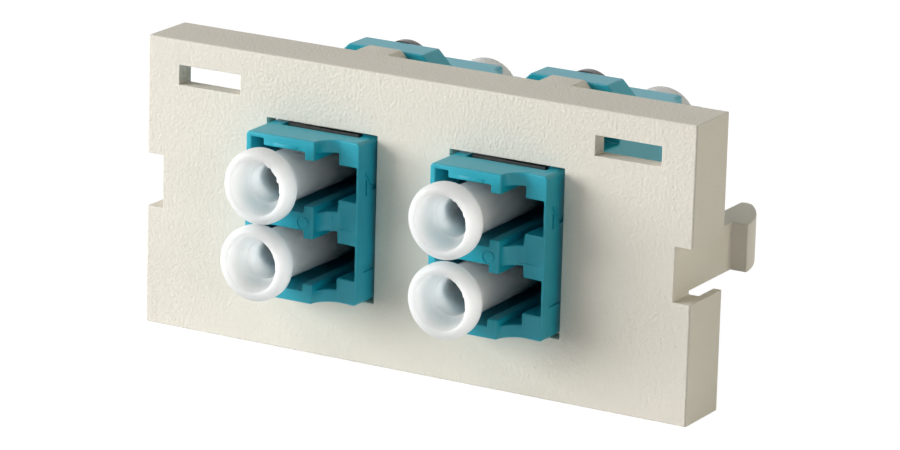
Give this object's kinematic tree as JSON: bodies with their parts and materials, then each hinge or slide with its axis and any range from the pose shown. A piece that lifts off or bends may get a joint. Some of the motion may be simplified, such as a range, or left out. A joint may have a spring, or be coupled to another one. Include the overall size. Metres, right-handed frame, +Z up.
{
  "type": "lc fibre adapter module",
  "caption": "Faceplate module with snap latches, carrying duplex LC fibre adapters whose ports are closed by flared pull-off dust caps at front and rear.",
  "frame": {"origin": "middle of the faceplate's front face", "axes": "+X to the right seen from the front, +Y from the front face to the back, +Z up"},
  "size_m": [0.0484, 0.0368, 0.0234],
  "materials": {
    "bezel_plastic": "fine moulded texture, off-white",
    "adapter_plastic": "satin moulded, aqua",
    "cap_plastic": "milky soft plastic",
    "sleeve_ceramic": "polished ceramic",
    "clip_steel": "rolled spring steel",
    "screw_steel": "dark plated steel"
  },
  "bodies": {
    "module": {"faceplate": "bezel_plastic", "left_front_housing": "adapter_plastic", "left_rear_housing": "adapter_plastic", "left_retention_clip": "clip_steel", "left_upper_sleeve": "sleeve_ceramic", "left_upper_screw": "screw_steel", "left_lower_sleeve": "sleeve_ceramic", "left_lower_screw": "screw_steel", "right_front_housing": "adapter_plastic", "right_rear_housing": "adapter_plastic", "right_retention_clip": "clip_steel", "right_upper_sleeve": "sleeve_ceramic", "right_upper_screw": "screw_steel", "right_lower_sleeve": "sleeve_ceramic", "right_lower_screw": "screw_steel"},
    "left_upper_front_cap": {"left_upper_front_cap": "cap_plastic"},
    "left_upper_rear_cap": {"left_upper_rear_cap": "cap_plastic"},
    "left_lower_front_cap": {"left_lower_front_cap": "cap_plastic"},
    "left_lower_rear_cap": {"left_lower_rear_cap": "cap_plastic"},
    "right_upper_front_cap": {"right_upper_front_cap": "cap_plastic"},
    "right_upper_rear_cap": {"right_upper_rear_cap": "cap_plastic"},
    "right_lower_front_cap": {"right_lower_front_cap": "cap_plastic"},
    "right_lower_rear_cap": {"right_lower_rear_cap": "cap_plastic"}
  },
  "joints": [
    {"name": "left_upper_front_cap_pull", "type": "slide", "parent": "module", "child": "left_upper_front_cap", "axis": [0, -1, 0], "range_m": [0, 0.013]},
    {"name": "left_upper_rear_cap_pull", "type": "slide", "parent": "module", "child": "left_upper_rear_cap", "axis": [0, 1, 0], "range_m": [0, 0.013]},
    {"name": "left_lower_front_cap_pull", "type": "slide", "parent": "module", "child": "left_lower_front_cap", "axis": [0, -1, 0], "range_m": [0, 0.013]},
    {"name": "left_lower_rear_cap_pull", "type": "slide", "parent": "module", "child": "left_lower_rear_cap", "axis": [0, 1, 0], "range_m": [0, 0.013]},
    {"name": "right_upper_front_cap_pull", "type": "slide", "parent": "module", "child": "right_upper_front_cap", "axis": [0, -1, 0], "range_m": [0, 0.013]},
    {"name": "right_upper_rear_cap_pull", "type": "slide", "parent": "module", "child": "right_upper_rear_cap", "axis": [0, 1, 0], "range_m": [0, 0.013]},
    {"name": "right_lower_front_cap_pull", "type": "slide", "parent": "module", "child": "right_lower_front_cap", "axis": [0, -1, 0], "range_m": [0, 0.013]},
    {"name": "right_lower_rear_cap_pull", "type": "slide", "parent": "module", "child": "right_lower_rear_cap", "axis": [0, 1, 0], "range_m": [0, 0.013]}
  ]
}
